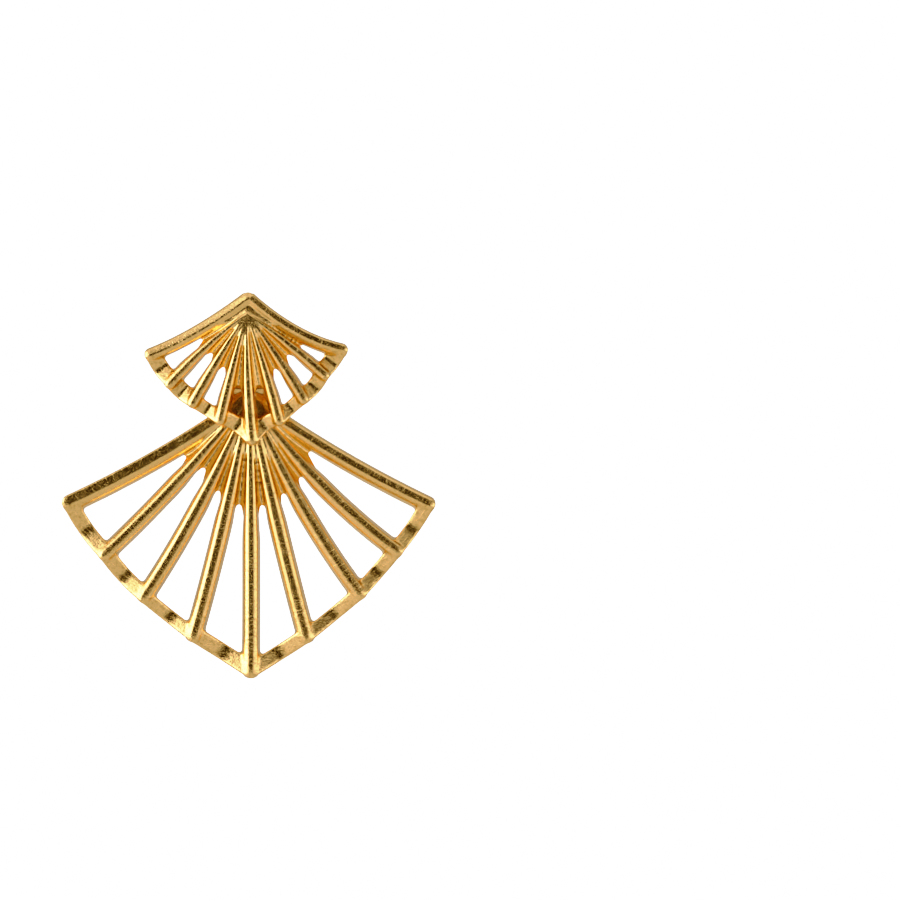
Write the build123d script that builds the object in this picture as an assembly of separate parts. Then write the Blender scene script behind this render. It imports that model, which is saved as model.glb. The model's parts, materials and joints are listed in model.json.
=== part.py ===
from build123d import *
import math
import os

# A drop earring of two cast metal fans, in millimetres. The small front fan sits on the ear lobe and
# carries a straight post on its back. The large drop fan hangs behind it from a hinge barrel at its apex.
# The frame: +X to the viewer's right, +Z up, and the fans face -Y.
# The origin is the middle of the round seat where the post leaves the back of the front fan.

# Both fans are first made face up: x to the right, y up the fan, z towards the viewer, with the back
# of the hub at z = 0.

# Shape of one rib's cross-section, as shares of its own width and height
RIDGE_SHARE = 0.66          # width where the crown begins, over the width at the foot
SHOULDER_SHARE = 0.70       # height where the drafted sides end and the crown begins
APEX_SHARE = 0.90           # width of the round apex, over the width of the edge ribs

# Front fan
FRONT = {
    "hub": (-0.30, 1.57),       # where the seven inner ribs meet, x and z
    "peak": (-0.20, 3.08),      # where the two edge ribs meet
    "thickness": 1.45,          # back to ridge
    "web_thickness": 0.95,
    "valley_depth": 0.45,       # how far the rim dips between two ribs
    "rib_start": 1.2,           # reach where the inner ribs rise out of the hub
    "dome_radius": 70.0,
    "dome_axis_x": 1.5,
}

# One row a rib, from the viewer's left: direction at half reach and at the end, in degrees from straight
# down with + to the right, then the reach from the hub to the middle of its round end, and its width.
FRONT_RIBS = (
    # name, middle_deg, end_deg, reach, width
    ("edge_left", -70.4, -66.0, 10.28, 1.36),
    ("left_1", -50.6, -47.7, 10.11, 1.42),
    ("left_2", -32.0, -31.2, 10.15, 1.42),
    ("left_3", -14.6, -14.2, 10.67, 1.42),
    ("centre", 0.8, 2.3, 12.33, 1.42),
    ("right_3", 18.2, 16.7, 10.90, 1.40),
    ("right_2", 35.0, 33.5, 10.00, 1.40),
    ("right_1", 53.4, 51.6, 9.66, 1.34),
    ("edge_right", 69.5, 68.0, 9.96, 1.44),
)

# One row a bay between two ribs: how far from the hub its solid web ends, and the rim's inner and
# outer edge in the middle of the bay, measured from the hub.
FRONT_BAYS = (
    # web_end, rim_inner, rim_outer
    (5.00, 9.11, 10.76),
    (5.10, 9.01, 10.74),
    (5.60, 9.30, 10.80),
    (7.00, 10.05, 11.55),
    (7.10, 10.20, 11.65),
    (6.10, 9.25, 10.75),
    (5.70, 8.84, 10.42),
    (5.70, 8.45, 10.32),
)

# Drop fan
DROP = {
    "hub": (0.0, -6.58),
    "peak": (0.0, -6.87),
    "thickness": 1.60,
    "web_thickness": 1.05,
    "valley_depth": 0.55,
    "rib_start": 2.6,
    "dome_radius": 260.0,
    "dome_axis_x": 0.0,
}

DROP_RIBS = (
    # name, middle_deg, end_deg, reach, width
    ("edge_left", -56.2, -59.4, 20.54, 1.88),
    ("left_1", -40.5, -42.6, 20.95, 1.80),
    ("left_2", -24.9, -27.8, 22.12, 1.82),
    ("left_3", -11.9, -13.2, 24.01, 1.88),
    ("centre", 0.5, 0.2, 26.81, 1.78),
    ("right_3", 12.3, 13.2, 24.11, 1.88),
    ("right_2", 25.2, 29.1, 22.02, 1.82),
    ("right_1", 38.6, 43.6, 20.79, 1.82),
    ("edge_right", 55.6, 58.8, 20.44, 1.74),
)

DROP_BAYS = (
    # web_end, rim_inner, rim_outer
    (8.30, 19.91, 21.48),
    (8.20, 20.67, 22.24),
    (9.60, 22.24, 23.59),
    (10.40, 24.28, 25.90),
    (10.50, 24.50, 26.02),
    (9.90, 22.19, 23.54),
    (9.10, 20.52, 21.97),
    (7.90, 19.79, 21.26),
)

RIM_OVER_RIB_END = 0.38     # how far the rim passes the middle of a rib's round end, over its width

# Hinge between the fans: a wire rivet along X through two ears and one barrel
HINGE_Z = -5.70
HINGE_Y = 1.443
PIN_RADIUS = 0.25
EAR_BORE_RADIUS = 0.27
BARREL_BORE_RADIUS = 0.30
BARREL_RADIUS = 0.65
BARREL_LEFT_X = -1.84
BARREL_RIGHT_X = 1.54
EAR_THICKNESS = 0.60
SIDE_GAP = 0.06             # between the barrel's end and the ear beside it
RIVET_HEAD_RADIUS = 0.42
RIVET_HEAD_LENGTH = 0.20
RIVET_HEAD_GAP = 0.03
BALANCE = 0.505             # from the hinge's axis back to the drop's back, so that it hangs plumb

# Ear post, a plain wire of the usual size, soldered to a seat that also roots the hinge's ears
POST_RADIUS = 0.40
POST_LENGTH = 10.0          # from the seat to the tip
POST_TIP_CHAMFER = 0.15
POST_GAP = 0.03             # under the solder fillet
FILLET_RADIUS = 0.60        # the solder at the foot of the post
FILLET_TOP = 0.25           # height above the seat where the plain wire begins
SEAT_RADIUS = 1.30
SEAT_HEIGHT = 0.25          # how far the seat stands off the fan's back
SEAT_ROOT = 0.40            # how far the seat and the ears are sunk into the fan


def polar(fan, degrees, reach, height=0):
    """The point at a direction and a reach from a fan's hub."""
    turn = math.radians(degrees)
    hub_x, hub_z = fan["hub"]
    return Vector(hub_x + reach * math.sin(turn), hub_z - reach * math.cos(turn), height)


def dome_drop(fan, x):
    """How far the dome has fallen back at x."""
    radius = fan["dome_radius"]
    across = x - fan["dome_axis_x"]
    return radius - math.sqrt(radius * radius - across * across)


def rib_profile(fan, width):
    """Half a rib's section, from the middle of its crown to the middle of its foot."""
    crown = fan["thickness"]
    shoulder = crown * SHOULDER_SHARE
    return crown, shoulder, width / 2 * RIDGE_SHARE, width / 2


def rib_section(fan, place, along, width):
    """A rib's section across its path: a flat back, drafted sides and a round crown."""
    crown, shoulder, half_ridge, half_foot = rib_profile(fan, width)
    sides = Polyline((-half_ridge, shoulder), (-half_foot, 0), (half_foot, 0), (half_ridge, shoulder))
    top = ThreePointArc((half_ridge, shoulder), (0, crown), (-half_ridge, shoulder))
    across = Vector(-along.Y, along.X, 0)
    return Plane(origin=place, x_dir=across, z_dir=along) * make_face(sides + top)


def rib_end(fan, width):
    """The round end of a rib: its own section turned about its middle."""
    crown, shoulder, half_ridge, half_foot = rib_profile(fan, width)
    rise = crown - shoulder
    radius = (half_ridge ** 2 + rise ** 2) / (2 * rise)
    bend = math.asin(half_ridge / radius) / 2
    middle = (radius * math.sin(bend), crown - radius * (1 - math.cos(bend)))
    crown_bend = ThreePointArc((half_ridge, shoulder), middle, (0, crown))
    rest = Polyline((0, crown), (0, 0), (half_foot, 0), (half_ridge, shoulder))
    return revolve(Plane.XZ * make_face(crown_bend + rest), Axis.Z)


def make_rib(fan, row):
    """One rib, straight out of the hub, bowed sideways as an arc, and tilted back to follow the dome."""
    name, middle_deg, end_deg, reach, width = row
    is_edge = name.startswith("edge")
    start = Vector(*fan["peak"]) if is_edge else polar(fan, 0, 0)
    end = polar(fan, end_deg, reach)
    path = Edge.make_three_point_arc(start, polar(fan, middle_deg, reach / 2), end)
    if not is_edge:
        path = path.trim(fan["rib_start"] / reach, 1)
    bar = sweep(rib_section(fan, path @ 0, path % 0, width), path=path)
    rib = bar + Pos(end) * rib_end(fan, width)
    outward = (end - start).normalized()
    tilt_axis = Axis(start, (outward.Y, -outward.X, 0))
    tilt = math.degrees(math.atan2(dome_drop(fan, end.X), (end - start).length))
    return rib.rotate(tilt_axis, -tilt)


def rim_section(fan, degrees, inner, outer, height):
    """A four-cornered section of the rim, in the upright plane through the hub."""
    bottom = -dome_drop(fan, polar(fan, degrees, outer).X)
    corners = ((inner, bottom), (outer, bottom), (outer, bottom + height), (inner, bottom + height))
    face = make_face(Polyline(*corners, close=True))
    hub = polar(fan, 0, 0)
    outward = (polar(fan, degrees, 1) - hub).normalized()
    return Plane(origin=hub, x_dir=outward, z_dir=(outward.Y, -outward.X, 0)) * face


def make_rim(fan, first, second, bay):
    """The waved rim between two neighbouring ribs."""
    web_end, rim_inner, rim_outer = bay
    rim_width = rim_outer - rim_inner
    full = fan["thickness"] * SHOULDER_SHARE
    sections = []
    for name, middle_deg, end_deg, reach, width in (first, second):
        outer = reach + width * RIM_OVER_RIB_END
        sections.append(rim_section(fan, end_deg, outer - rim_width, outer, full))
    bay_deg = (first[2] + second[2]) / 2
    sections.insert(1, rim_section(fan, bay_deg, rim_inner, rim_outer, full - fan["valley_depth"]))
    return loft(sections)


def make_web(fan, first, second, bay):
    """The solid web that joins two neighbouring ribs near the hub."""
    web_end = bay[0]
    corners = (polar(fan, 0, 0), polar(fan, first[1], web_end), polar(fan, second[1], web_end))
    return extrude(make_face(Polyline(*corners, close=True)), amount=fan["web_thickness"], dir=(0, 0, 1))


def make_apex(fan, ribs):
    """The rounded apex where the edge ribs meet, and the plate that closes the corner under it."""
    first, last = ribs[0], ribs[-1]
    peak = Vector(*fan["peak"])
    width = (first[4] + last[4]) / 2 * APEX_SHARE
    corners = (peak, polar(fan, first[1], first[3] / 3), polar(fan, 0, 0), polar(fan, last[1], last[3] / 3))
    plate = extrude(make_face(Polyline(*corners, close=True)), amount=fan["web_thickness"], dir=(0, 0, 1))
    return Pos(peak) * rib_end(fan, width) + plate


def make_fan(fan, ribs, bays):
    """One cast fan, face up: apex, ribs, webs and rim in one solid."""
    body = make_apex(fan, ribs)
    for row in ribs:
        body += make_rib(fan, row)
    for first, second, bay in zip(ribs, ribs[1:], bays):
        body += make_web(fan, first, second, bay)
        body += make_rim(fan, first, second, bay)
    return body


def stand_up(face_up, back_y):
    """Turn a fan that lies face up so that it stands facing -Y, the back of its hub at back_y."""
    return Plane(origin=(0, back_y, 0), x_dir=(1, 0, 0), z_dir=(0, -1, 0)) * face_up


def rod_x(radius, left, right):
    """A round rod on the hinge's axis."""
    return Pos((left + right) / 2, HINGE_Y, HINGE_Z) * Rot(0, 90, 0) * Cylinder(radius, right - left)


def rod_y(radius, front, back):
    """A round rod on the post's axis."""
    return Pos(0, (front + back) / 2, 0) * Rot(90, 0, 0) * Cylinder(radius, back - front)


def make_front_fan():
    back_y = -SEAT_HEIGHT
    root_y = back_y - SEAT_ROOT
    fan = stand_up(make_fan(FRONT, FRONT_RIBS, FRONT_BAYS), back_y)
    for left in (BARREL_LEFT_X - SIDE_GAP - EAR_THICKNESS, BARREL_RIGHT_X + SIDE_GAP):
        right = left + EAR_THICKNESS
        stem = Pos((left + right) / 2, (root_y + HINGE_Y) / 2, HINGE_Z) * Box(
            EAR_THICKNESS, HINGE_Y - root_y, 2 * BARREL_RADIUS)
        fan += stem + rod_x(BARREL_RADIUS, left, right)
        fan -= rod_x(EAR_BORE_RADIUS, left - 1, right + 1)
    return fan + rod_y(SEAT_RADIUS, root_y, 0)


def make_drop_fan():
    fan = stand_up(make_fan(DROP, DROP_RIBS, DROP_BAYS), HINGE_Y + BALANCE)
    fan += rod_x(BARREL_RADIUS, BARREL_LEFT_X, BARREL_RIGHT_X)
    return fan - rod_x(BARREL_BORE_RADIUS, BARREL_LEFT_X - 2, BARREL_RIGHT_X + 2)


def make_hinge_pin():
    left = BARREL_LEFT_X - SIDE_GAP - EAR_THICKNESS - RIVET_HEAD_GAP
    right = BARREL_RIGHT_X + SIDE_GAP + EAR_THICKNESS + RIVET_HEAD_GAP
    pin = rod_x(PIN_RADIUS, left, right)
    pin += rod_x(RIVET_HEAD_RADIUS, left - RIVET_HEAD_LENGTH, left)
    return pin + rod_x(RIVET_HEAD_RADIUS, right, right + RIVET_HEAD_LENGTH)


def make_ear_post():
    """Half its outline, turned about the post's axis: solder fillet, plain wire and bevelled tip."""
    outline = Polyline(
        (0, POST_GAP),
        (FILLET_RADIUS, POST_GAP),
        (POST_RADIUS, FILLET_TOP),
        (POST_RADIUS, POST_LENGTH - POST_TIP_CHAMFER),
        (POST_RADIUS - POST_TIP_CHAMFER, POST_LENGTH),
        (0, POST_LENGTH),
        close=True)
    return revolve(make_face(outline), Axis.Y)


PIECES = {
    "front_fan": make_front_fan,
    "drop_fan": make_drop_fan,
    "hinge_pin": make_hinge_pin,
    "ear_post": make_ear_post,
}

os.makedirs("parts", exist_ok=True)
for node, make in PIECES.items():
    shape = make()
    export_step(shape, f"parts/{node}.step")
    print(node, "solids", len(shape.solids()), "volume", round(shape.volume, 2))
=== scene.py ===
import json
import math
from collections import namedtuple

import bmesh
import bpy
from mathutils import Matrix, Vector


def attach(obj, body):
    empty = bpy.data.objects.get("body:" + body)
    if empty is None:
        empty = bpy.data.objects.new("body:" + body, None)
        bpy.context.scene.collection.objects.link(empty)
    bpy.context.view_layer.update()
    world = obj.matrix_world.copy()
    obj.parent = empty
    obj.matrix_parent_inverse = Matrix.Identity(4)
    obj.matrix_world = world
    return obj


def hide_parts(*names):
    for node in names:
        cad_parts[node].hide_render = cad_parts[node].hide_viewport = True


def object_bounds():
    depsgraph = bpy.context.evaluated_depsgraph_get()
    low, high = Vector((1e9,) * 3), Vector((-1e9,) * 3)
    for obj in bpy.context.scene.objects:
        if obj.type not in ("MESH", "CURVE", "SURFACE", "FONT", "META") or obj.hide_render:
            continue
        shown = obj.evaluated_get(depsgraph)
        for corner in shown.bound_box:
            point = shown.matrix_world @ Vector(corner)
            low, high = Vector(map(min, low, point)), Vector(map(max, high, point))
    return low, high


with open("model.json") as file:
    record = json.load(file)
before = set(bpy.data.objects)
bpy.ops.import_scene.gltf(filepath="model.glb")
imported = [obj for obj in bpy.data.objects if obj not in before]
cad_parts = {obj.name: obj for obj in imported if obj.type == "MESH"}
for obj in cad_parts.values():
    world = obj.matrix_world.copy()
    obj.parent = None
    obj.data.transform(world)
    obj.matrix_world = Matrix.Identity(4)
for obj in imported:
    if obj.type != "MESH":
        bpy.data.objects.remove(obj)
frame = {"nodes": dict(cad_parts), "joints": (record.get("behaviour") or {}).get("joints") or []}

# A drop earring of two cast fans in satin gold plate. The fans are modelled here as castings, with soft
# junctions and slightly uneven surfaces, and stand for the two plain CAD fans. The hinge's wire rivet and
# the ear post keep their CAD shape and get a drawn wire finish.
# Modelling is in millimetres, each fan lying face up: x to the right, y up the fan, z towards the viewer.
# A finished fan is stood up facing -Y and scaled to metres.

CAD_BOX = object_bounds()
MM = 0.001

# Fans: every reach is measured from a fan's hub

FRONT = {
    "label": "front",
    "hub": Vector((-0.30, 1.57, 0)),    # where the inner ribs start
    "peak": Vector((-0.20, 3.08, 0)),   # where the edge ribs start
    "thickness": 1.45,          # from the flat back to the ribs' ridges
    "web_hub_height": 1.32,     # the web's height at the hub, beside the ribs and along its middle
    "web_side_height": 0.95,
    "web_middle_height": 0.50,
    "web_setback": 0.15,        # how far a web's middle stays behind its bay's web_end
    "web_notch": 2.8,           # how much further a web reaches along its ribs than in its middle
    "rim_height": 1.28,         # beside a rib
    "valley_depth": 0.90,       # how much lower the rim is in the middle of a bay
    "rim_starts": 8.8,          # reach where the rim's rougher cast surface begins
    "full_width_reach": 8.0,    # where the ribs, narrow at the hub, reach their full width
    "boss_radius": 0.40,
    "fillet": 0.08,             # radius of the soft corners where the parts meet
    "dome_radius": 70.0,        # the ribs fall back over a dome of this radius
    "dome_axis_x": 1.5,         # where the dome is highest
    "back_y": -0.25,            # where the flat back is when the fan stands
    "voxel": 0.075,             # grid of the one skin that the parts are grown into
}

DROP = {
    "label": "drop",
    "hub": Vector((0, -6.58, 0)),
    "peak": Vector((0, -6.87, 0)),
    "thickness": 1.60,
    "web_hub_height": 1.45,
    "web_side_height": 1.05,
    "web_middle_height": 0.50,
    "web_setback": 0.45,
    "web_notch": 6.0,
    "rim_height": 1.46,
    "valley_depth": 1.20,
    "rim_starts": 20.0,
    "full_width_reach": 11.0,
    "boss_radius": 0.50,
    "fillet": 0.13,
    "dome_radius": 260.0,
    "dome_axis_x": 0.0,
    "back_y": 1.948,
    "voxel": 0.092,
}

# One row a rib, from the viewer's left: direction at half reach and at the end, in degrees from straight
# down with + to the right, then the reach from the hub to the middle of its round end, and its width.
FRONT_RIBS = (
    # name, middle_deg, end_deg, reach, width
    ("edge_left", -69.8, -66.9, 10.28, 1.36),
    ("left_1", -50.6, -47.7, 10.11, 1.42),
    ("left_2", -32.0, -31.2, 10.15, 1.42),
    ("left_3", -14.6, -14.2, 10.67, 1.42),
    ("centre", 0.8, 2.3, 12.33, 1.42),
    ("right_3", 18.2, 16.7, 10.90, 1.40),
    ("right_2", 35.0, 33.5, 10.00, 1.40),
    ("right_1", 53.4, 51.6, 9.66, 1.34),
    ("edge_right", 68.9, 68.8, 9.96, 1.44),
)

DROP_RIBS = (
    # name, middle_deg, end_deg, reach, width
    ("edge_left", -55.8, -59.2, 20.54, 1.88),
    ("left_1", -40.5, -42.6, 20.95, 1.80),
    ("left_2", -24.9, -27.8, 22.12, 1.82),
    ("left_3", -11.9, -13.2, 24.01, 1.88),
    ("centre", 0.5, 0.2, 26.93, 1.78),
    ("right_3", 12.3, 13.2, 24.11, 1.88),
    ("right_2", 25.2, 29.1, 22.02, 1.82),
    ("right_1", 38.6, 43.6, 20.79, 1.82),
    ("edge_right", 55.6, 58.8, 20.44, 1.74),
)

# One row a bay between two ribs: how far from the hub its solid web ends, and the rim's inner and outer
# edge in the middle of the bay, measured from the hub.
FRONT_BAYS = (
    # web_end, rim_inner, rim_outer
    (5.00, 9.11, 10.76),
    (5.10, 9.01, 10.74),
    (5.60, 9.45, 10.80),
    (7.00, 10.05, 11.55),
    (7.10, 10.20, 11.65),
    (6.00, 9.45, 10.80),
    (5.60, 8.90, 10.45),
    (5.40, 8.60, 10.35),
)

DROP_BAYS = (
    # web_end, rim_inner, rim_outer
    (8.30, 19.91, 21.48),
    (8.20, 20.67, 22.24),
    (9.60, 22.24, 23.59),
    (10.40, 24.28, 25.90),
    (10.50, 24.50, 26.02),
    (9.90, 22.19, 23.54),
    (9.10, 20.52, 21.97),
    (7.90, 19.79, 21.26),
)

Rib = namedtuple("Rib", "name middle_deg end_deg reach width")
Bay = namedtuple("Bay", "web_end rim_inner rim_outer")
for fan, ribs, bays in ((FRONT, FRONT_RIBS, FRONT_BAYS), (DROP, DROP_RIBS, DROP_BAYS)):
    fan["ribs"] = [Rib(*row) for row in ribs]
    fan["bays"] = [Bay(*row) for row in bays]

# Sections of the ribs: where the outer shoulder, the ridge and the inner shoulder lie across the rib, as
# shares of its width from its middle, how high the two shoulders are, as shares of its height, and how
# far each of the three is rounded, again over the width. The outer side is the one away from the middle
# of the fan. On an inner rib it is the viewer's right, where the crown is nearly flat.
RIB_SECTIONS = {
    # kind: (outer_y, outer_z, outer_round, ridge_y, ridge_round, inner_y, inner_z, inner_round)
    "inner": (0.32, 0.95, 0.18, -0.08, 0.10, -0.38, 0.84, 0.20),
    "drop_left": (0.47, 0.97, 0.07, -0.06, 0.05, -0.38, 0.68, 0.12),
    "drop_right": (0.42, 0.88, 0.20, -0.08, 0.10, -0.38, 0.68, 0.12),
    "front_left": (0.46, 0.74, 0.16, -0.06, 0.12, -0.42, 0.74, 0.12),
    "front_right": (0.44, 0.92, 0.16, -0.01, 0.10, -0.38, 0.66, 0.10),
}
FOOT_SPREAD = 0.10          # mm that a rib starts wider, since softening the body takes as much off
NOSE_OVER_RIB_END = 0.41    # how far a rib's nose passes the middle of its round end, over its width
NOSE_ROUND = 0.38           # corner radius of a rib's end in plan, over its width
NOSE_DROP = 0.16            # how far the crown falls at the end, over the rib's height
NOSE_STEPS = 5
RIB_CUTS = 28               # cuts along a rib and a piece of rim, so that they can bend
RIM_CUTS = 31
RIB_ROUND_SEGMENTS = 6
RIM_ROUND_SEGMENTS = 3
RIM_EDGE_ROUND = 0.15       # mm
HUB_WIDTH = 0.12            # width of an inner rib at the hub, over its full width
RIM_OVER_RIB_END = 0.38     # how far the rim passes the middle of a rib's round end, over its width
VALLEY_ROUND = 0.12         # how far the valley's round bottom reaches each way, as a share of the bay
KNOB_WIDTH = 0.88           # width of the knob at the apex, over the width of the edge ribs
KNOB_SHOULDER = 0.74        # height where its cone begins, over the fan's thickness
KNOB_TIP = 0.12             # width of the cone's tip, over its foot
KNOB_SINK = 0.06            # mm from the tip up to the ridges of the edge ribs
BOSS_SINK = 0.12            # mm from the top of the hub's boss up to the ribs' crowns
APEX_SIDES = 32             # of the knob and the boss
APEX_PLATE_REACH = 1 / 3    # how far the plates that fill the apex go along the edge ribs
SMOOTH_PASSES = 3
SMOOTH_SHARE = 0.5          # how far one pass moves a point towards the middle of its neighbours
MOST_TRIANGLES = 180000     # in one fan's mesh, nearly
CREASE_DEG = 30             # sharper edges stay sharp in the shading
PATH_STEPS = 48             # fineness of the curve that a rib or rim is bent along
LENGTH_STEPS = 64           # and of the sum that gives its length
FACES_ALONG = 0.9           # least part of a face's normal along the axis that it faces
TINY = 0.01                 # mm, for picking points by their place

# Hinge and seat, in millimetres in the standing frame. The hinge's axis is the CAD joint's, along x.

HINGE_Y = frame["joints"][0]["pos_m"][1] / MM
HINGE_Z = frame["joints"][0]["pos_m"][2] / MM
EAR_BORE_RADIUS = 0.27
BARREL_BORE_RADIUS = 0.30
BARREL_RADIUS = 0.65
BARREL_LEFT_X = -1.84
BARREL_RIGHT_X = 1.54
STRAP_BOTTOM_Z = -7.20      # the strap that carries the barrel goes down to the drop's edge ribs
STRAP_THICKNESS = 1.00
SHOULDER_OVERHANG = 0.60    # below the ears the strap is wider than the barrel by this much at each end
SHOULDER_TOP_Z = -6.55
EAR_THICKNESS = 0.60
SIDE_GAP = 0.06             # between the barrel and each ear
DRILL_PAST_END = 2.0        # beyond the barrel, so that the bore goes right through the ears
SEAT_RADIUS = 1.30
SEAT_SIDES = 64
SEAT_ROOT = 0.40            # how deep the seat and the ears start inside the fan


# Working helpers

def select_only(obj):
    bpy.ops.object.select_all(action="DESELECT")
    obj.select_set(True)
    bpy.context.view_layer.objects.active = obj


def apply_place(obj):
    select_only(obj)
    bpy.ops.object.transform_apply(location=True, rotation=True, scale=True)


def apply_modifier(obj, kind, **settings):
    select_only(obj)
    modifier = obj.modifiers.new(kind.lower(), kind)
    for key, value in settings.items():
        setattr(modifier, key, value)
    bpy.ops.object.modifier_apply(modifier=modifier.name)


def add_block(name, lowest, highest):
    """A box between two corners."""
    bpy.ops.object.select_all(action="DESELECT")
    low, high = Vector(lowest), Vector(highest)
    bpy.ops.mesh.primitive_cube_add(size=1, location=(low + high) / 2)
    block = bpy.context.object
    block.name = name
    block.scale = high - low
    apply_place(block)
    return block


def add_rod(name, radius, start, end, sides=48):
    """A round rod between two points."""
    bpy.ops.object.select_all(action="DESELECT")
    start, end = Vector(start), Vector(end)
    turn = (end - start).to_track_quat("Z", "Y").to_euler()
    bpy.ops.mesh.primitive_cylinder_add(vertices=sides, radius=radius, depth=(end - start).length,
                                        location=(start + end) / 2, rotation=turn)
    rod = bpy.context.object
    rod.name = name
    apply_place(rod)
    return rod


def pick_edges(obj, test):
    """In edit mode, select only the edges whose two ends pass a test."""
    bpy.ops.mesh.select_mode(type="EDGE")
    bpy.ops.mesh.select_all(action="DESELECT")
    cage = bmesh.from_edit_mesh(obj.data)
    for edge in cage.edges:
        if test(edge.verts[0].co, edge.verts[1].co):
            edge.select_set(True)
    bmesh.update_edit_mesh(obj.data)


def pick_faces(obj, test):
    """In edit mode, select only the faces whose middle and normal pass a test."""
    bpy.ops.mesh.select_mode(type="FACE")
    bpy.ops.mesh.select_all(action="DESELECT")
    cage = bmesh.from_edit_mesh(obj.data)
    for face in cage.faces:
        if test(face.calc_center_median(), face.normal):
            face.select_set(True)
    bmesh.update_edit_mesh(obj.data)


def pick_points(obj, test):
    """In edit mode, select only the points that pass a test."""
    bpy.ops.mesh.select_mode(type="VERT")
    bpy.ops.mesh.select_all(action="DESELECT")
    cage = bmesh.from_edit_mesh(obj.data)
    for point in cage.verts:
        if test(point.co):
            point.select_set(True)
    bmesh.update_edit_mesh(obj.data)


def copy_scaled(master, name, scale):
    """A copy with its own mesh, scaled from the origin."""
    piece = master.copy()
    piece.data = master.data.copy()
    piece.name = name
    bpy.context.collection.objects.link(piece)
    piece.scale = scale
    apply_place(piece)
    return piece


def discard(*objects):
    for obj in objects:
        bpy.data.objects.remove(obj, do_unlink=True)


def join(name, pieces):
    select_only(pieces[0])
    for piece in pieces:
        piece.select_set(True)
    bpy.ops.object.join()
    joined = bpy.context.object
    joined.name = name
    return joined


def bend_along(obj, start, middle, end):
    """Lay a straight piece, modelled along +x from 0, on the curve through three points of a plane."""
    line = bpy.data.curves.new("path", "CURVE")
    line.dimensions = "2D"
    spline = line.splines.new("NURBS")
    control = 2 * middle - (start + end) / 2
    spline.points.add(2)
    for point, place in zip(spline.points, (start, control, end)):
        point.co = (place.x, place.y, 0, 1)
    spline.use_endpoint_u = True
    spline.order_u = 3
    spline.resolution_u = PATH_STEPS
    path = bpy.data.objects.new("path", line)
    bpy.context.collection.objects.link(path)
    apply_modifier(obj, "CURVE", object=path, deform_axis="POS_X")
    discard(path)


# Geometry of a fan

def polar(fan, degrees, reach):
    """The point at a direction and a reach from a fan's hub."""
    turn = math.radians(degrees)
    return fan["hub"] + Vector((reach * math.sin(turn), -reach * math.cos(turn), 0))


def dome_drop(fan, x):
    """How far the dome has fallen back at x."""
    across = x - fan["dome_axis_x"]
    return fan["dome_radius"] - math.sqrt(fan["dome_radius"] ** 2 - across ** 2)


def curve_length(start, middle, end):
    """Length of the curve through three points, summed over short steps."""
    control = 2 * middle - (start + end) / 2
    places = []
    for step in range(LENGTH_STEPS + 1):
        share = step / LENGTH_STEPS
        places.append(start * (1 - share) ** 2 + control * 2 * share * (1 - share) + end * share ** 2)
    return sum((b - a).length for a, b in zip(places, places[1:]))


def rib_path(fan, row):
    """The three points of a rib's path, and the length of the rib that is laid on it."""
    start = fan["peak"] if row.name.startswith("edge") else polar(fan, 0, 0)
    middle = polar(fan, row.middle_deg, row.reach / 2)
    end = polar(fan, row.end_deg, row.reach)
    return start, middle, end, curve_length(start, middle, end) + row.width * NOSE_OVER_RIB_END


def rim_path(fan, first, second, bay):
    """The three points of a rim's path between two ribs, its length and its width."""
    rim_width = bay.rim_outer - bay.rim_inner
    start, end = (polar(fan, row.end_deg, row.reach + row.width * RIM_OVER_RIB_END - rim_width / 2)
                  for row in (first, second))
    middle = polar(fan, (first.end_deg + second.end_deg) / 2, (bay.rim_inner + bay.rim_outer) / 2)
    return start, middle, end, curve_length(start, middle, end), rim_width


# Ribs

def model_rib(kind, length, width, height):
    """A straight rib along +x, its outer side to +y: drafted sides, rounded shoulders and a round nose."""
    outer_y, outer_z, outer_round, ridge_y, ridge_round, inner_y, inner_z, inner_round = RIB_SECTIONS[kind]
    bar_length = length - width * NOSE_ROUND
    rib = add_block("rib", (0, -width / 2, 0), (bar_length, width / 2, height))
    select_only(rib)
    bpy.ops.object.mode_set(mode="EDIT")
    bpy.ops.mesh.select_all(action="SELECT")
    bpy.ops.mesh.bisect(plane_co=(0, width * ridge_y, 0), plane_no=(0, 1, 0))
    pick_points(rib, lambda p: p.z > height / 2 and p.y > width / 2 - TINY)
    bpy.ops.transform.translate(value=(0, width * (outer_y - 0.5), height * (outer_z - 1)))
    pick_points(rib, lambda p: p.z > height / 2 and p.y < TINY - width / 2)
    bpy.ops.transform.translate(value=(0, width * (inner_y + 0.5), height * (inner_z - 1)))
    for share, radius in ((outer_y, outer_round), (ridge_y, ridge_round), (inner_y, inner_round)):
        place = width * share
        pick_edges(rib, lambda a, b: abs(a.x - b.x) > length / 2 and min(a.z, b.z) > height / 2
                   and abs(a.y - place) < TINY)
        bpy.ops.mesh.bevel(offset=width * radius, segments=RIB_ROUND_SEGMENTS, affect="EDGES")
    pick_edges(rib, lambda a, b: abs(a.x - b.x) > length / 2)
    bpy.ops.mesh.subdivide(number_cuts=RIB_CUTS)
    round_nose(rib, width)
    bpy.ops.object.mode_set(mode="OBJECT")
    return rib


def round_nose(rib, width):
    """In edit mode, carry a rib's end face on in short steps that narrow and sink to a round nose."""
    pick_faces(rib, lambda middle, normal: normal.x > FACES_ALONG)
    forward, across, high = 0, 1, 1
    for step in range(1, NOSE_STEPS + 1):
        turn = math.pi / 2 * step / NOSE_STEPS
        gone = 1 - math.cos(turn)
        next_forward = width * NOSE_ROUND * math.sin(turn)
        next_across = 1 - 2 * NOSE_ROUND * gone
        next_high = 1 - NOSE_DROP * gone
        bpy.ops.mesh.extrude_region_move(
            TRANSFORM_OT_translate={"value": (next_forward - forward, 0, 0)})
        bpy.ops.transform.resize(value=(1, next_across / across, next_high / high),
                                 center_override=(0, 0, 0))
        forward, across, high = next_forward, next_across, next_high


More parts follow.
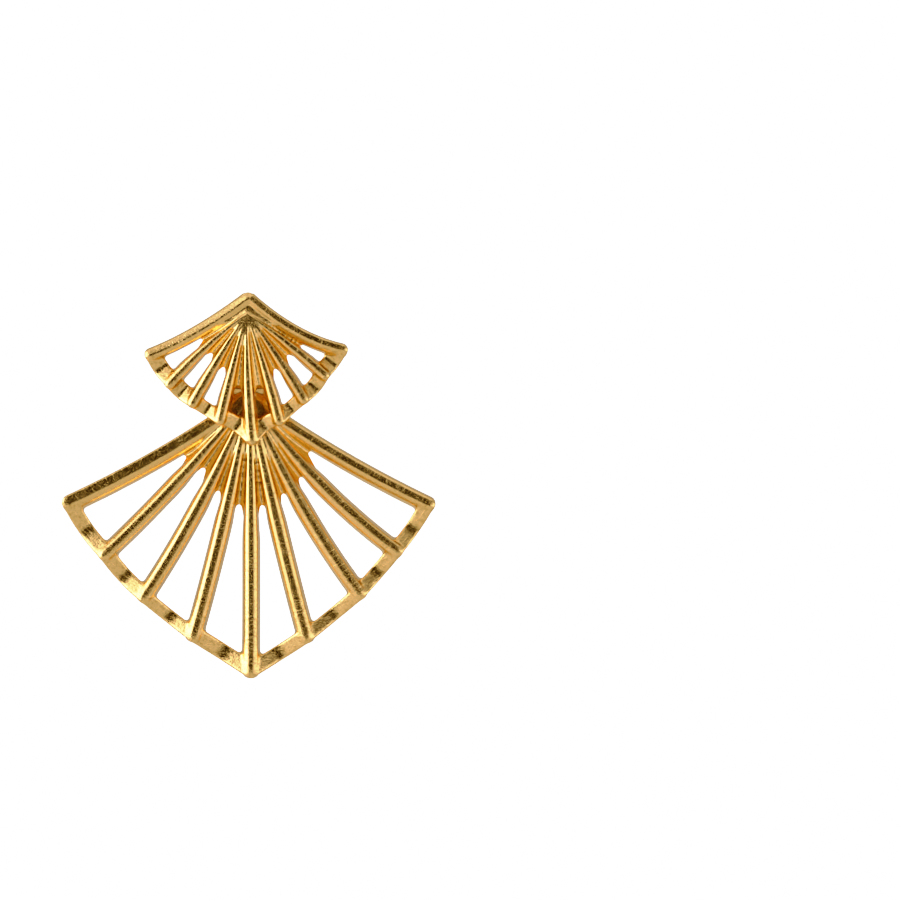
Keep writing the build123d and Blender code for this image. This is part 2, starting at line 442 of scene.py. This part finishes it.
def narrow_to_hub(rib, full_width_reach):
    """Draw an inner rib in towards the hub, row by row, so that it meets its neighbours side by side. Its
    crown gets flatter on the way."""
    select_only(rib)
    bpy.ops.object.mode_set(mode="EDIT")
    places = [point.co.copy() for point in bmesh.from_edit_mesh(rib.data).verts]
    top = max(place.z for place in places)
    for x in sorted({round(place.x, 3) for place in places}):
        if x < full_width_reach:
            share = HUB_WIDTH + (1 - HUB_WIDTH) * x / full_width_reach
            pick_points(rib, lambda p: abs(p.x - x) < TINY)
            bpy.ops.transform.resize(value=(1, share, 1), center_override=(x, 0, top))
            pick_points(rib, lambda p: abs(p.x - x) < TINY and p.z > top / 2)
            bpy.ops.transform.resize(value=(1, 1, share * share), center_override=(x, 0, top))
    bpy.ops.object.mode_set(mode="OBJECT")


def turn_over(rib):
    """Mirror a rib across its length, so that its outer side is to -y."""
    select_only(rib)
    bpy.ops.object.mode_set(mode="EDIT")
    bpy.ops.mesh.select_all(action="SELECT")
    bpy.ops.transform.resize(value=(1, -1, 1), center_override=(0, 0, 0))
    bpy.ops.mesh.normals_make_consistent(inside=False)
    bpy.ops.object.mode_set(mode="OBJECT")


def place_rib(fan, rib, row):
    """Bow a straight rib along its path, and tilt it back to follow the dome."""
    start, middle, end, length = rib_path(fan, row)
    bend_along(rib, start, middle, end)
    outward = (end - start).normalized()
    tilt = math.atan2(dome_drop(fan, end.x), (end - start).length)
    turn = Matrix.Rotation(-tilt, 4, Vector((outward.y, -outward.x, 0)))
    rib.matrix_world = Matrix.Translation(start) @ turn @ Matrix.Translation(-start)
    apply_place(rib)


def make_ribs(fan):
    """The ribs of a fan. Its inner ribs are copies of one, drawn to each one's length and width."""
    inner = fan["ribs"][1]
    master_length = rib_path(fan, inner)[3]
    master_width = inner.width + FOOT_SPREAD
    master = model_rib("inner", master_length, master_width, fan["thickness"])
    narrow_to_hub(master, fan["full_width_reach"])
    ribs = []
    for row in fan["ribs"]:
        length = rib_path(fan, row)[3]
        width = row.width + FOOT_SPREAD
        if row.name.startswith("edge"):
            rib = model_rib(row.name.replace("edge", fan["label"]), length, width, fan["thickness"])
        else:
            rib = copy_scaled(master, row.name, (length / master_length, width / master_width, 1))
        if row.name == "edge_left":
            turn_over(rib)
        place_rib(fan, rib, row)
        ribs.append(rib)
    discard(master)
    return ribs


# Rim

def valley_dip(share):
    """How deep the rim lies at a share of the way from rib to rib, from 0 at a rib to 1 at the bottom."""
    away = abs(share - 0.5)
    if away > VALLEY_ROUND:
        return 1 - 2 * away
    return 1 - (away * away + VALLEY_ROUND * VALLEY_ROUND) / VALLEY_ROUND


def model_rim(fan, length, width):
    """A straight bar along +x, its front pushed back row by row into a round valley, its edges eased."""
    height = fan["rim_height"]
    rim = add_block("rim", (0, -width / 2, 0), (length, width / 2, height))
    select_only(rim)
    bpy.ops.object.mode_set(mode="EDIT")
    pick_edges(rim, lambda a, b: abs(a.x - b.x) > length / 2)
    bpy.ops.mesh.subdivide(number_cuts=RIM_CUTS)
    for row in range(1, RIM_CUTS + 1):
        x = length * row / (RIM_CUTS + 1)
        pick_points(rim, lambda p: abs(p.x - x) < TINY and p.z > height / 2)
        bpy.ops.transform.translate(value=(0, 0, -fan["valley_depth"] * valley_dip(x / length)))
    pick_edges(rim, lambda a, b: min(a.z, b.z) > TINY and a.y * b.y > 0 and abs(a.x - b.x) > TINY)
    bpy.ops.mesh.bevel(offset=RIM_EDGE_ROUND, segments=RIM_ROUND_SEGMENTS, affect="EDGES")
    bpy.ops.object.mode_set(mode="OBJECT")
    return rim


def place_rim(fan, rim, start, middle, end):
    """Bend a straight rim along its path, and tilt it so that its ends follow the dome."""
    bend_along(rim, start, middle, end)
    first_drop, second_drop = dome_drop(fan, start.x), dome_drop(fan, end.x)
    along = (end - start).normalized()
    tilt = math.atan2(first_drop - second_drop, (end - start).length)
    turn = Matrix.Rotation(-tilt, 4, Vector((-along.y, along.x, 0)))
    foot = Matrix.Translation(start)
    rim.matrix_world = Matrix.Translation((0, 0, -first_drop)) @ foot @ turn @ foot.inverted()
    apply_place(rim)


def make_rims(fan):
    """The waved rim, one piece a bay, each a copy of the first, drawn to its bay."""
    paths = [rim_path(fan, first, second, bay)
             for first, second, bay in zip(fan["ribs"], fan["ribs"][1:], fan["bays"])]
    master_length, master_width = paths[0][3:]
    master = model_rim(fan, master_length, master_width)
    rims = []
    for start, middle, end, length, width in paths:
        rim = copy_scaled(master, "rim", (length / master_length, width / master_width, 1))
        place_rim(fan, rim, start, middle, end)
        rims.append(rim)
    discard(master)
    return rims


# Webs and hub

def place_wedge(name, corners, heights):
    """A three-cornered plate, its back at z = 0, its front at its own height at each corner."""
    bpy.ops.object.select_all(action="DESELECT")
    bpy.ops.mesh.primitive_circle_add(vertices=3, radius=1, fill_type="NGON")
    wedge = bpy.context.object
    wedge.name = name
    for point, corner in zip(wedge.data.vertices, corners):
        point.co = corner
    bpy.ops.object.mode_set(mode="EDIT")
    bpy.ops.mesh.select_all(action="SELECT")
    level = 1.0
    bpy.ops.mesh.extrude_region_move(TRANSFORM_OT_translate={"value": (0, 0, level)})
    for corner, height in zip(corners, heights):
        pick_points(wedge, lambda p: p.z > level / 2 and (p - corner).xy.length < TINY)
        bpy.ops.transform.translate(value=(0, 0, height - level))
    bpy.ops.mesh.select_all(action="SELECT")
    bpy.ops.mesh.normals_make_consistent(inside=False)
    bpy.ops.object.mode_set(mode="OBJECT")
    return wedge


def rib_sink(fan, row, reach):
    """How far a rib, tilted back to follow the dome, has fallen back at a reach."""
    return dome_drop(fan, polar(fan, row.end_deg, row.reach).x) * reach / row.reach


def make_webs(fan):
    """The webs between the ribs near the hub, each a channel of two wedges that ends in a pointed notch,
    and the two plates that fill the apex."""
    rows = fan["ribs"]
    hub = polar(fan, 0, 0)
    hub_height = fan["web_hub_height"]
    side_height = fan["web_side_height"]
    webs = []
    for first, second, bay in zip(rows, rows[1:], fan["bays"]):
        middle_reach = bay.web_end - fan["web_setback"]
        side_reach = middle_reach + fan["web_notch"]
        middle_sink = (rib_sink(fan, first, middle_reach) + rib_sink(fan, second, middle_reach)) / 2
        middle_height = fan["web_middle_height"] - middle_sink
        bottom = polar(fan, (first.middle_deg + second.middle_deg) / 2, middle_reach)
        for row in (first, second):
            corners = hub, polar(fan, row.middle_deg, side_reach), bottom
            heights = hub_height, side_height - rib_sink(fan, row, side_reach), middle_height
            webs.append(place_wedge("web", corners, heights))
    for row in (rows[0], rows[-1]):
        reach = row.reach * APEX_PLATE_REACH
        corners = hub, fan["peak"], polar(fan, row.middle_deg, reach)
        heights = hub_height, side_height, side_height - rib_sink(fan, row, reach)
        webs.append(place_wedge("apex_plate", corners, heights))
    return webs


def make_apex(fan):
    """The round knob where the edge ribs meet, with a blunt cone on top, and the small boss on the hub."""
    radius = (fan["ribs"][0].width + fan["ribs"][-1].width) / 4 * KNOB_WIDTH
    shoulder = fan["peak"] + Vector((0, 0, fan["thickness"] * KNOB_SHOULDER))
    knob = add_rod("knob", radius, fan["peak"], shoulder, APEX_SIDES)
    select_only(knob)
    bpy.ops.object.mode_set(mode="EDIT")
    pick_faces(knob, lambda middle, normal: normal.z > FACES_ALONG)
    rise = fan["thickness"] * (1 - KNOB_SHOULDER) - KNOB_SINK
    bpy.ops.mesh.extrude_region_move(TRANSFORM_OT_translate={"value": (0, 0, rise)})
    bpy.ops.transform.resize(value=(KNOB_TIP, KNOB_TIP, 1), center_override=shoulder)
    bpy.ops.object.mode_set(mode="OBJECT")
    boss_place = fan["hub"] + Vector((0, 0, fan["thickness"] - fan["boss_radius"] - BOSS_SINK))
    bpy.ops.object.select_all(action="DESELECT")
    bpy.ops.mesh.primitive_uv_sphere_add(segments=APEX_SIDES, ring_count=APEX_SIDES // 2,
                                         radius=fan["boss_radius"], location=boss_place)
    boss = bpy.context.object
    apply_place(boss)
    return [knob, boss]


# A whole fan

def soften(body, fan):
    """Grow the parts together under one skin, then swell it and draw it back, which leaves a fillet in
    every inner corner, as a casting has. Last, thin the mesh where it is flat."""
    apply_modifier(body, "REMESH", mode="VOXEL", voxel_size=fan["voxel"])
    for swell in (fan["fillet"], -fan["fillet"]):
        apply_modifier(body, "DISPLACE", strength=swell, mid_level=0)
        apply_modifier(body, "REMESH", mode="VOXEL", voxel_size=fan["voxel"])
    apply_modifier(body, "SMOOTH", factor=SMOOTH_SHARE, iterations=SMOOTH_PASSES)
    triangles = sum(len(face.vertices) - 2 for face in body.data.polygons)
    apply_modifier(body, "DECIMATE", ratio=min(1, MOST_TRIANGLES / triangles))


def model_fan(name, fan, extra):
    """One casting: the fan's own parts and the extra ones for its fastening, joined and softened."""
    parts = make_ribs(fan) + make_rims(fan) + make_webs(fan) + make_apex(fan)
    body = join(name, parts + extra)
    soften(body, fan)
    return body


def face_up(fan, x, y, z):
    """A point of the standing frame, in the frame where the fan lies face up."""
    return Vector((x, z, fan["back_y"] - y))


def stand_up(body, fan):
    """Turn a fan from face up to standing, facing -Y, and from millimetres to metres."""
    body.matrix_world = (Matrix.Scale(MM, 4) @ Matrix.Translation((0, fan["back_y"], 0))
                         @ Matrix.Rotation(math.pi / 2, 4, "X"))
    apply_place(body)


def hinge_rod(name, fan, radius, left, right):
    """A rod along the hinge's axis between two places on x, in the frame where the fan lies face up."""
    start, end = (face_up(fan, x, HINGE_Y, HINGE_Z) for x in (left, right))
    return add_rod(name, radius, start, end)


def bore_hinge(body, fan, radius):
    """Bore the hinge's hole along its axis."""
    left = BARREL_LEFT_X - DRILL_PAST_END
    right = BARREL_RIGHT_X + DRILL_PAST_END
    drill = hinge_rod("drill", fan, radius, left, right)
    apply_modifier(body, "BOOLEAN", object=drill, operation="DIFFERENCE", solver="EXACT")
    discard(drill)


def make_ear(fan, left):
    """One of the two hinge ears: a block out of the fan's back, and the round eye at its end."""
    right = left + EAR_THICKNESS
    root = face_up(fan, left, fan["back_y"] - SEAT_ROOT, HINGE_Z - BARREL_RADIUS)
    eye = face_up(fan, right, HINGE_Y, HINGE_Z + BARREL_RADIUS)
    lowest = [min(pair) for pair in zip(root, eye)]
    highest = [max(pair) for pair in zip(root, eye)]
    return [add_block("ear", lowest, highest), hinge_rod("eye", fan, BARREL_RADIUS, left, right)]


def model_front_fan():
    """The front fan, with the round seat and the two hinge ears on its back."""
    fan = FRONT
    seat = add_rod("seat", SEAT_RADIUS, face_up(fan, 0, fan["back_y"] - SEAT_ROOT, 0),
                   face_up(fan, 0, 0, 0), SEAT_SIDES)
    left_ear = make_ear(fan, BARREL_LEFT_X - SIDE_GAP - EAR_THICKNESS)
    right_ear = make_ear(fan, BARREL_RIGHT_X + SIDE_GAP)
    body = model_fan("front_fan_cast", fan, [seat] + left_ear + right_ear)
    bore_hinge(body, fan, EAR_BORE_RADIUS)
    stand_up(body, fan)
    return body


def model_drop_fan():
    """The drop, with the hinge's barrel and the strap that carries it."""
    fan = DROP
    barrel = hinge_rod("barrel", fan, BARREL_RADIUS, BARREL_LEFT_X, BARREL_RIGHT_X)
    strap = add_block("strap", (BARREL_LEFT_X, STRAP_BOTTOM_Z, 0),
                      (BARREL_RIGHT_X, HINGE_Z, STRAP_THICKNESS))
    shoulder = add_block("strap_shoulder", (BARREL_LEFT_X - SHOULDER_OVERHANG, STRAP_BOTTOM_Z, 0),
                         (BARREL_RIGHT_X + SHOULDER_OVERHANG, SHOULDER_TOP_Z, STRAP_THICKNESS))
    body = model_fan("drop_fan_cast", fan, [barrel, strap, shoulder])
    bore_hinge(body, fan, BARREL_BORE_RADIUS)
    stand_up(body, fan)
    return body


# Materials

def linear(code):
    """An sRGB hex colour as the linear values that a shader takes."""
    values = [int(code[place:place + 2], 16) / 255 for place in (1, 3, 5)]
    return [v / 12.92 if v <= 0.04045 else ((v + 0.055) / 1.055) ** 2.4 for v in values] + [1]


def add_node(tree, kind, settings=(), links=()):
    """A node with its settings and sockets set, and its inputs linked. A socket goes by name or number."""
    node = tree.nodes.new(kind)
    for key, value in dict(settings).items():
        if isinstance(key, str) and hasattr(node, key):
            setattr(node, key, value)
        else:
            node.inputs[key].default_value = value
    for socket, source in dict(links).items():
        tree.links.new(source, node.inputs[socket])
    return node


def new_material(name):
    material = bpy.data.materials.new(name)
    material.use_nodes = True
    material.node_tree.nodes.clear()
    return material, material.node_tree


PLATE_COLOUR = "#FBCE87"
PLATE_ROUGHNESS = (0.16, 0.28)
# Painted shade: the plate's colour is darkened towards this at the grain's marks and in the casting's
# pits.
PAINTED_SHADE_COLOUR = "#B07A36"
GRAIN_PAINTED_SHADE = 0.40        # how far the colour is darkened as painted shade at the marks of the grain
PIT_PAINTED_SHADE = 0.60          # and as painted shade in a fully pitted casting skin
PIT_PAINTED_SHADE_FROM = 0.50     # values of the pits' pattern where that starts and where it is full
PIT_PAINTED_SHADE_TO = 0.72
GRAIN_MM = 0.08             # the satin grain, drawn as coarse as the render can show
STROKE_WIDTH_MM = 0.09      # brush strokes across the ribs, also drawn coarse
STROKES_PER_RADIAN = 14
SMOOTH_BELOW = 0.61         # the plate is smooth below this value of a grain or stroke pattern,
MARKED_ABOVE = 0.77         # and has a mark of full height above this one
MARK_DEPTH_MM = 0.013
PIT_MM = 0.35
PIT_DEPTH_MM = 0.03
RIB_PITTING = 0.12          # strength of the casting's pits on the ribs, and on the rim
RIM_PITTING = 0.90
RIM_FADE_MM = 1.2           # over which the rim's rougher surface fades in
NOISE_LOW = 0.3             # nearly all of a noise pattern lies between these values
NOISE_HIGH = 0.7
WIRE_COLOUR = "#F6CC80"
WIRE_ROUGHNESS = (0.10, 0.18)
WIRE_LINE_MM = 0.12
PAPER_COLOUR = "#E8E8E6"
PAPER_ROUGHNESS = 0.9


def wind_round_hub(tree, place, fan):
    """Each point's reach from a fan's hub, and then its reach, direction and depth as one vector."""
    from_hub = add_node(tree, "ShaderNodeVectorMath",
                        {"operation": "SUBTRACT", 1: (fan["hub"].x * MM, 0, fan["hub"].y * MM)},
                        {0: place})
    parts = add_node(tree, "ShaderNodeSeparateXYZ", {}, {"Vector": from_hub.outputs["Vector"]})
    flat = add_node(tree, "ShaderNodeCombineXYZ", {},
                    {"X": parts.outputs["X"], "Y": parts.outputs["Z"]})
    reach = add_node(tree, "ShaderNodeVectorMath", {"operation": "LENGTH"}, {0: flat.outputs["Vector"]})
    turn = add_node(tree, "ShaderNodeMath", {"operation": "ARCTAN2"},
                    {0: parts.outputs["X"], 1: parts.outputs["Z"]})
    wound = add_node(tree, "ShaderNodeCombineXYZ", {},
                     {"X": reach.outputs["Value"], "Y": turn.outputs["Value"], "Z": parts.outputs["Y"]})
    return reach.outputs["Value"], wound.outputs["Vector"]


def plate_colour(tree, grain, pits, pitting):
    """The plate's colour, darkened towards a painted shade at the grain's marks and in the casting's pits.
    """
    # Painted shade: a darker colour at the grain's marks and in the pits of the casting's skin.
    painted_shade_at_marks = add_node(tree, "ShaderNodeMapRange",
                        {"From Min": SMOOTH_BELOW, "From Max": MARKED_ABOVE, "To Max": GRAIN_PAINTED_SHADE},
                        {"Value": grain})
    painted_shade_at_pits = add_node(tree, "ShaderNodeMapRange",
                       {"From Min": PIT_PAINTED_SHADE_FROM, "From Max": PIT_PAINTED_SHADE_TO, "To Max": PIT_PAINTED_SHADE},
                       {"Value": pits})
    painted_shade = add_node(tree, "ShaderNodeMath", {"operation": "MULTIPLY_ADD"},
                       {0: painted_shade_at_pits.outputs["Result"], 1: pitting, 2: painted_shade_at_marks.outputs["Result"]})
    # A Mix node's colours are its inputs 6 and 7 and its output 2.
    colour = add_node(tree, "ShaderNodeMix",
                      {"data_type": "RGBA", 6: linear(PLATE_COLOUR), 7: linear(PAINTED_SHADE_COLOUR)},
                      {0: painted_shade.outputs["Value"]})
    return colour.outputs[2]


def plate_relief(tree, pits, pitting, patterns):
    """The plate's normal: the casting's pits, and on top of them the marks of each pattern."""
    relief = add_node(tree, "ShaderNodeBump", {"Distance": PIT_DEPTH_MM * MM},
                      {"Strength": pitting, "Height": pits})
    for pattern in patterns:
        marks = add_node(tree, "ShaderNodeMapRange", {"From Min": SMOOTH_BELOW, "From Max": MARKED_ABOVE},
                         {"Value": pattern})
        relief = add_node(tree, "ShaderNodeBump", {"Strength": 1.0, "Distance": MARK_DEPTH_MM * MM},
                          {"Height": marks.outputs["Result"], "Normal": relief.outputs["Normal"]})
    return relief.outputs["Normal"]


def satin_gold_plate(fan):
    """Cast brass, tumbled and brushed across its ribs, with a satin gold plate: bands of reflection
    broken by a fine grain and short strokes, and a pitted casting skin that is strongest on the rim.
    Its colour is darkened as painted shade at the grain's marks and in the pits."""
    material, tree = new_material("satin_gold_plate_" + fan["label"])
    place = add_node(tree, "ShaderNodeTexCoord").outputs["Object"]
    reach, wound = wind_round_hub(tree, place, fan)
    stroke_place = add_node(tree, "ShaderNodeVectorMath",
                            {"operation": "MULTIPLY",
                             1: (1 / (STROKE_WIDTH_MM * MM), STROKES_PER_RADIAN, 1 / MM)},
                            {0: wound})
    strokes = add_node(tree, "ShaderNodeTexNoise", {"Scale": 1.0, "Detail": 2.0},
                       {"Vector": stroke_place.outputs["Vector"]}).outputs["Fac"]
    grain = add_node(tree, "ShaderNodeTexNoise",
                     {"Scale": 1 / (GRAIN_MM * MM), "Detail": 3.0, "Roughness": 0.6},
                     {"Vector": place}).outputs["Fac"]
    pits = add_node(tree, "ShaderNodeTexNoise",
                    {"Scale": 1 / (PIT_MM * MM), "Detail": 4.0, "Roughness": 0.65},
                    {"Vector": place}).outputs["Fac"]
    pitting = add_node(tree, "ShaderNodeMapRange",
                       {"From Min": (fan["rim_starts"] - RIM_FADE_MM) * MM,
                        "From Max": fan["rim_starts"] * MM,
                        "To Min": RIB_PITTING, "To Max": RIM_PITTING},
                       {"Value": reach}).outputs["Result"]
    rough = add_node(tree, "ShaderNodeMapRange",
                     {"From Min": NOISE_LOW, "From Max": NOISE_HIGH,
                      "To Min": PLATE_ROUGHNESS[0], "To Max": PLATE_ROUGHNESS[1]},
                     {"Value": grain}).outputs["Result"]
    shader = add_node(tree, "ShaderNodeBsdfPrincipled", {"Metallic": 1.0},
                      {"Base Color": plate_colour(tree, grain, pits, pitting), "Roughness": rough,
                       "Normal": plate_relief(tree, pits, pitting, (strokes, grain))})
    add_node(tree, "ShaderNodeOutputMaterial", {}, {"Surface": shader.outputs["BSDF"]})
    return material


def drawn_gold_wire():
    """Gold-plated drawn wire: smoother than the castings, its gloss broken by faint drawing marks."""
    material, tree = new_material("drawn_gold_wire")
    place = add_node(tree, "ShaderNodeTexCoord").outputs["Object"]
    lines = add_node(tree, "ShaderNodeTexNoise", {"Scale": 1 / (WIRE_LINE_MM * MM), "Detail": 2.0},
                     {"Vector": place})
    rough = add_node(tree, "ShaderNodeMapRange",
                     {"From Min": NOISE_LOW, "From Max": NOISE_HIGH,
                      "To Min": WIRE_ROUGHNESS[0], "To Max": WIRE_ROUGHNESS[1]},
                     {"Value": lines.outputs["Fac"]})
    shader = add_node(tree, "ShaderNodeBsdfPrincipled",
                      {"Base Color": linear(WIRE_COLOUR), "Metallic": 1.0},
                      {"Roughness": rough.outputs["Result"]})
    add_node(tree, "ShaderNodeOutputMaterial", {}, {"Surface": shader.outputs["BSDF"]})
    return material


def studio_paper():
    """Matt white paper."""
    material, tree = new_material("studio_paper")
    shader = add_node(tree, "ShaderNodeBsdfPrincipled",
                      {"Base Color": linear(PAPER_COLOUR), "Roughness": PAPER_ROUGHNESS})
    add_node(tree, "ShaderNodeOutputMaterial", {}, {"Surface": shader.outputs["BSDF"]})
    return material


def dress(piece, material):
    piece.data.materials.clear()
    piece.data.materials.append(material)


# Studio

# The photograph shows the earring straight on, left of the picture's middle.
IMAGE_SIZE = 900
MM_PER_PIXEL = 0.09819
ORIGIN_PIXEL = (250, 330)   # where the middle of the seat falls in the picture
LENS_MM = 400
SENSOR_MM = 36

# The room, in metres
CAMERA_RANGE = 20.0
FLOOR_SIZE = 3.0
FLOOR_Z = -0.35
STUDIO_RADIUS = 2.0         # from the object to the softboxes

# Softboxes: where they are and the angles that they fill, in degrees as seen from the object. Azimuth
# runs from the lens, with + to the right.
SOFTBOXES = (
    # name, azimuth, elevation, width, height, brightness
    ("key_left", -73, -2, 66, 78, 3.0),
    ("fill_right", 64, -15, 84, 60, 1.2),
    ("top", 0, 70, 80, 50, 0.4),
)

# What the metal reflects of the room: dark around the lens, pale elsewhere. In between, a direction's y
# goes from the first of the two values to the second.
LENS_ZONE_ENDS = (-0.85, -0.30)
ROOM_LIGHT = (0.052, 0.50)

# The picture's tones: scene light, and the share of white that it comes out as. Shadows go deep and the
# highlights roll off softly.
TONE_WHITE = 2.0
TONES = (
    # light, share_of_white
    (0.03, 0.005),
    (0.08, 0.046),
    (0.20, 0.175),
    (0.55, 0.51),
    (0.90, 0.84),
    (1.30, 0.95),
)


def add_camera():
    """A long lens straight in front, aimed so that the earring falls left of the picture's middle."""
    distance = LENS_MM * IMAGE_SIZE / SENSOR_MM * MM_PER_PIXEL * MM
    middle = (Vector(CAD_BOX[0]) + Vector(CAD_BOX[1])) / 2
    aim = Vector(((IMAGE_SIZE / 2 - ORIGIN_PIXEL[0]) * MM_PER_PIXEL * MM, 0,
                  (ORIGIN_PIXEL[1] - IMAGE_SIZE / 2) * MM_PER_PIXEL * MM))
    data = bpy.data.cameras.new("camera")
    data.lens = LENS_MM
    data.sensor_width = SENSOR_MM
    data.clip_end = CAMERA_RANGE
    camera = bpy.data.objects.new("camera", data)
    camera.location = (middle.x, -distance, middle.z)
    camera.rotation_euler = (aim - camera.location).to_track_quat("-Z", "Y").to_euler()
    bpy.context.collection.objects.link(camera)
    bpy.context.scene.camera = camera


def set_tones():
    """Put the tones on the curve that holds for all three colours, which is the last of its four."""
    view = bpy.context.scene.view_settings
    view.view_transform = "Standard"
    view.use_curve_mapping = True
    view.curve_mapping.white_level = (TONE_WHITE, TONE_WHITE, TONE_WHITE)
    curve = view.curve_mapping.curves[3]
    for light, share_of_white in TONES:
        curve.points.new(light / TONE_WHITE, share_of_white)
    view.curve_mapping.update()


def add_softbox(name, azimuth, elevation, width, height, brightness):
    """A soft white panel on a sphere about the object."""
    turn, lift = math.radians(azimuth), math.radians(elevation)
    outward = Vector((math.sin(turn) * math.cos(lift), -math.cos(turn) * math.cos(lift), math.sin(lift)))
    data = bpy.data.lights.new(name, "AREA")
    data.shape = "RECTANGLE"
    data.size = 2 * STUDIO_RADIUS * math.tan(math.radians(width / 2))
    data.size_y = 2 * STUDIO_RADIUS * math.tan(math.radians(height / 2))
    data.energy = brightness * math.pi * data.size * data.size_y
    box = bpy.data.objects.new(name, data)
    box.location = outward * STUDIO_RADIUS
    box.rotation_euler = (-outward).to_track_quat("-Z", "Y").to_euler()
    box.visible_camera = False
    bpy.context.collection.objects.link(box)


def add_world():
    """White behind the object for the lens. For reflections, dark around the lens and pale elsewhere."""
    world = bpy.data.worlds.new("studio")
    bpy.context.scene.world = world
    world.use_nodes = True
    tree = world.node_tree
    tree.nodes.clear()
    path = add_node(tree, "ShaderNodeLightPath")
    direction = add_node(tree, "ShaderNodeTexCoord").outputs["Generated"]
    parts = add_node(tree, "ShaderNodeSeparateXYZ", {}, {"Vector": direction})
    shade = add_node(tree, "ShaderNodeMapRange",
                     {"From Min": LENS_ZONE_ENDS[0], "From Max": LENS_ZONE_ENDS[1],
                      "To Min": ROOM_LIGHT[0], "To Max": ROOM_LIGHT[1]},
                     {"Value": parts.outputs["Y"]})
    around = add_node(tree, "ShaderNodeBackground", {"Color": (1, 1, 1, 1)},
                      {"Strength": shade.outputs["Result"]})
    behind = add_node(tree, "ShaderNodeBackground", {"Color": (1, 1, 1, 1), "Strength": TONE_WHITE})
    mix = add_node(tree, "ShaderNodeMixShader", {},
                   {0: path.outputs["Is Camera Ray"], 1: around.outputs[0], 2: behind.outputs[0]})
    add_node(tree, "ShaderNodeOutputWorld", {}, {"Surface": mix.outputs[0]})


def add_floor():
    bpy.ops.object.select_all(action="DESELECT")
    bpy.ops.mesh.primitive_plane_add(size=FLOOR_SIZE, location=(0, 0, FLOOR_Z))
    floor = bpy.context.object
    floor.name = "floor"
    dress(floor, studio_paper())


# Making it all

add_camera()
add_world()
add_floor()
set_tones()
for softbox in SOFTBOXES:
    add_softbox(*softbox)

front_fan = model_front_fan()
drop_fan = model_drop_fan()
for piece, fan, body, node in ((front_fan, FRONT, "stud", "front_fan"),
                               (drop_fan, DROP, "drop", "drop_fan")):
    select_only(piece)
    bpy.ops.object.shade_smooth_by_angle(angle=math.radians(CREASE_DEG))
    dress(piece, satin_gold_plate(fan))
    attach(piece, body)
    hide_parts(node)

wire = drawn_gold_wire()
for node in ("hinge_pin", "ear_post"):
    dress(frame["nodes"][node], wire)
